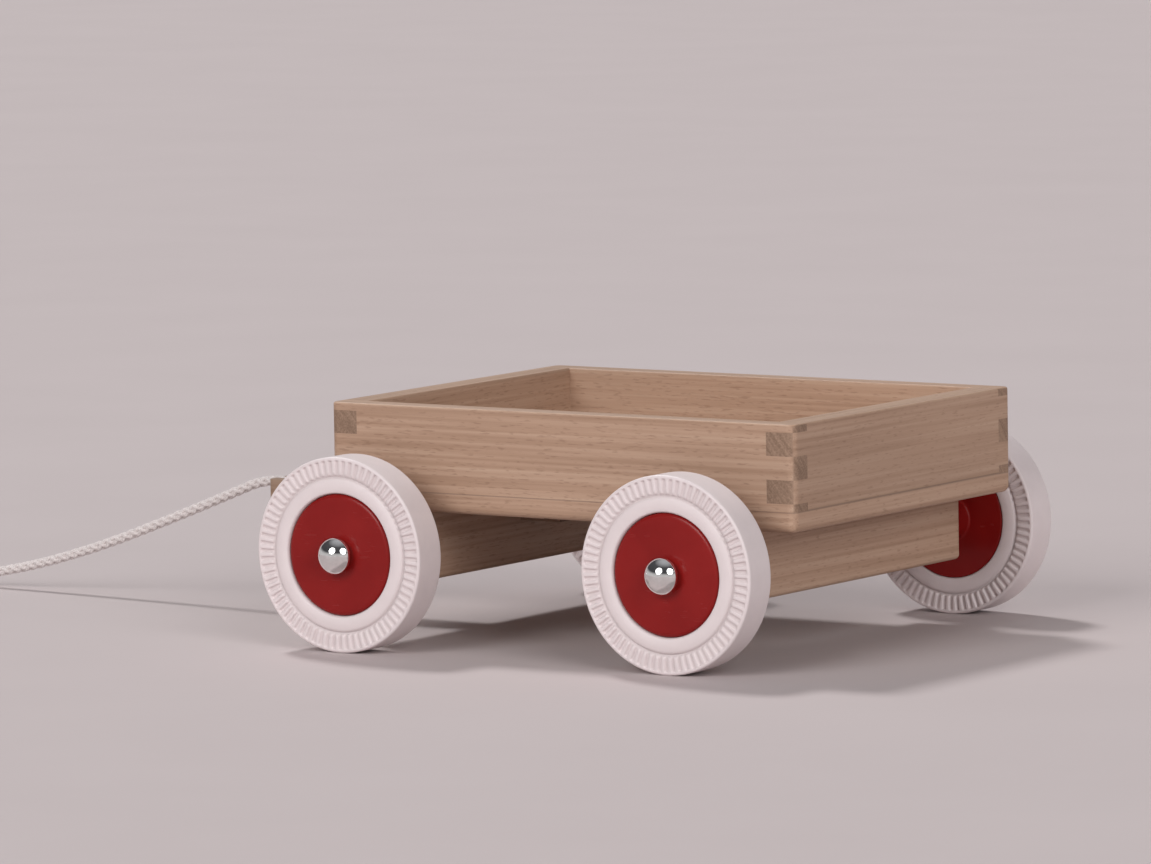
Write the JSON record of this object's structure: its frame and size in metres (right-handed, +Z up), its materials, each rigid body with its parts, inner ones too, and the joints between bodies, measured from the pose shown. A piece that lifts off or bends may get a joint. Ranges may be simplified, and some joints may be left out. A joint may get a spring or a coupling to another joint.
{
  "type": "toy wagon",
  "caption": "Small wooden pull-along wagon: finger-jointed open tray on axle beams, red-hubbed ribbed wheels, a front tongue and a pull cord ending in a ball knob.",
  "frame": {"origin": "on the floor under the middle of the wagon without its cord", "axes": "+X forward along the tongue, +Y to the wagon's left, +Z up"},
  "size_m": [0.5584, 0.2536, 0.0985],
  "materials": {
    "beech_tray": "clear satin lacquer on beech",
    "beech_frame": "clear satin lacquer on beech",
    "beech_spacer": "bare turned beech",
    "beech_knob": "clear satin lacquer on turned beech",
    "red_lacquer": "glossy red lacquer on a turned wooden disc",
    "white_tyre": "soft white, satin",
    "cap_chrome": "bright plated",
    "axle_steel": "drawn steel rod",
    "screw_steel": "zinc plated",
    "washer_nylon": "natural nylon",
    "white_cord": "braided white cotton"
  },
  "bodies": {
    "chassis": {"side_panel_left": "beech_tray", "side_panel_right": "beech_tray", "end_panel_front": "beech_tray", "end_panel_rear": "beech_tray", "bottom_board": "beech_tray", "board_screw_1": "screw_steel", "board_screw_2": "screw_steel", "board_screw_3": "screw_steel", "board_screw_4": "screw_steel", "board_screw_5": "screw_steel", "board_screw_6": "screw_steel", "axle_beam_front": "beech_frame", "axle_beam_rear": "beech_frame", "beam_dowel_1": "beech_frame", "beam_dowel_2": "beech_frame", "beam_dowel_3": "beech_frame", "beam_dowel_4": "beech_frame", "tongue": "beech_frame", "tongue_screw_1": "screw_steel", "tongue_screw_2": "screw_steel", "axle_front": "axle_steel", "axle_rear": "axle_steel", "axle_cap_front_left": "cap_chrome", "axle_cap_front_right": "cap_chrome", "axle_cap_rear_left": "cap_chrome", "axle_cap_rear_right": "cap_chrome", "axle_washer_front_left": "washer_nylon", "axle_washer_front_right": "washer_nylon", "axle_washer_rear_left": "washer_nylon", "axle_washer_rear_right": "washer_nylon", "axle_spacer_front_left": "beech_spacer", "axle_spacer_front_right": "beech_spacer", "axle_spacer_rear_left": "beech_spacer", "axle_spacer_rear_right": "beech_spacer", "cord_anchor": "white_cord", "pull_cord": "white_cord", "cord_coil": "white_cord", "cord_tail": "white_cord", "pull_knob": "beech_knob", "end_knot": "white_cord"},
    "wheel_front_left": {"hub_front_left": "red_lacquer", "tyre_front_left": "white_tyre"},
    "wheel_front_right": {"hub_front_right": "red_lacquer", "tyre_front_right": "white_tyre"},
    "wheel_rear_left": {"hub_rear_left": "red_lacquer", "tyre_rear_left": "white_tyre"},
    "wheel_rear_right": {"hub_rear_right": "red_lacquer", "tyre_rear_right": "white_tyre"}
  },
  "joints": [
    {"name": "wheel_front_left_spin", "type": "hinge", "parent": "chassis", "child": "wheel_front_left", "pos_m": [0.0434, 0.109, 0.04], "axis": [0, 1, 0], "continuous": true},
    {"name": "wheel_front_right_spin", "type": "hinge", "parent": "chassis", "child": "wheel_front_right", "pos_m": [0.0434, -0.109, 0.04], "axis": [0, 1, 0], "continuous": true},
    {"name": "wheel_rear_left_spin", "type": "hinge", "parent": "chassis", "child": "wheel_rear_left", "pos_m": [-0.1145, 0.109, 0.04], "axis": [0, 1, 0], "continuous": true},
    {"name": "wheel_rear_right_spin", "type": "hinge", "parent": "chassis", "child": "wheel_rear_right", "pos_m": [-0.1145, -0.109, 0.04], "axis": [0, 1, 0], "continuous": true}
  ]
}
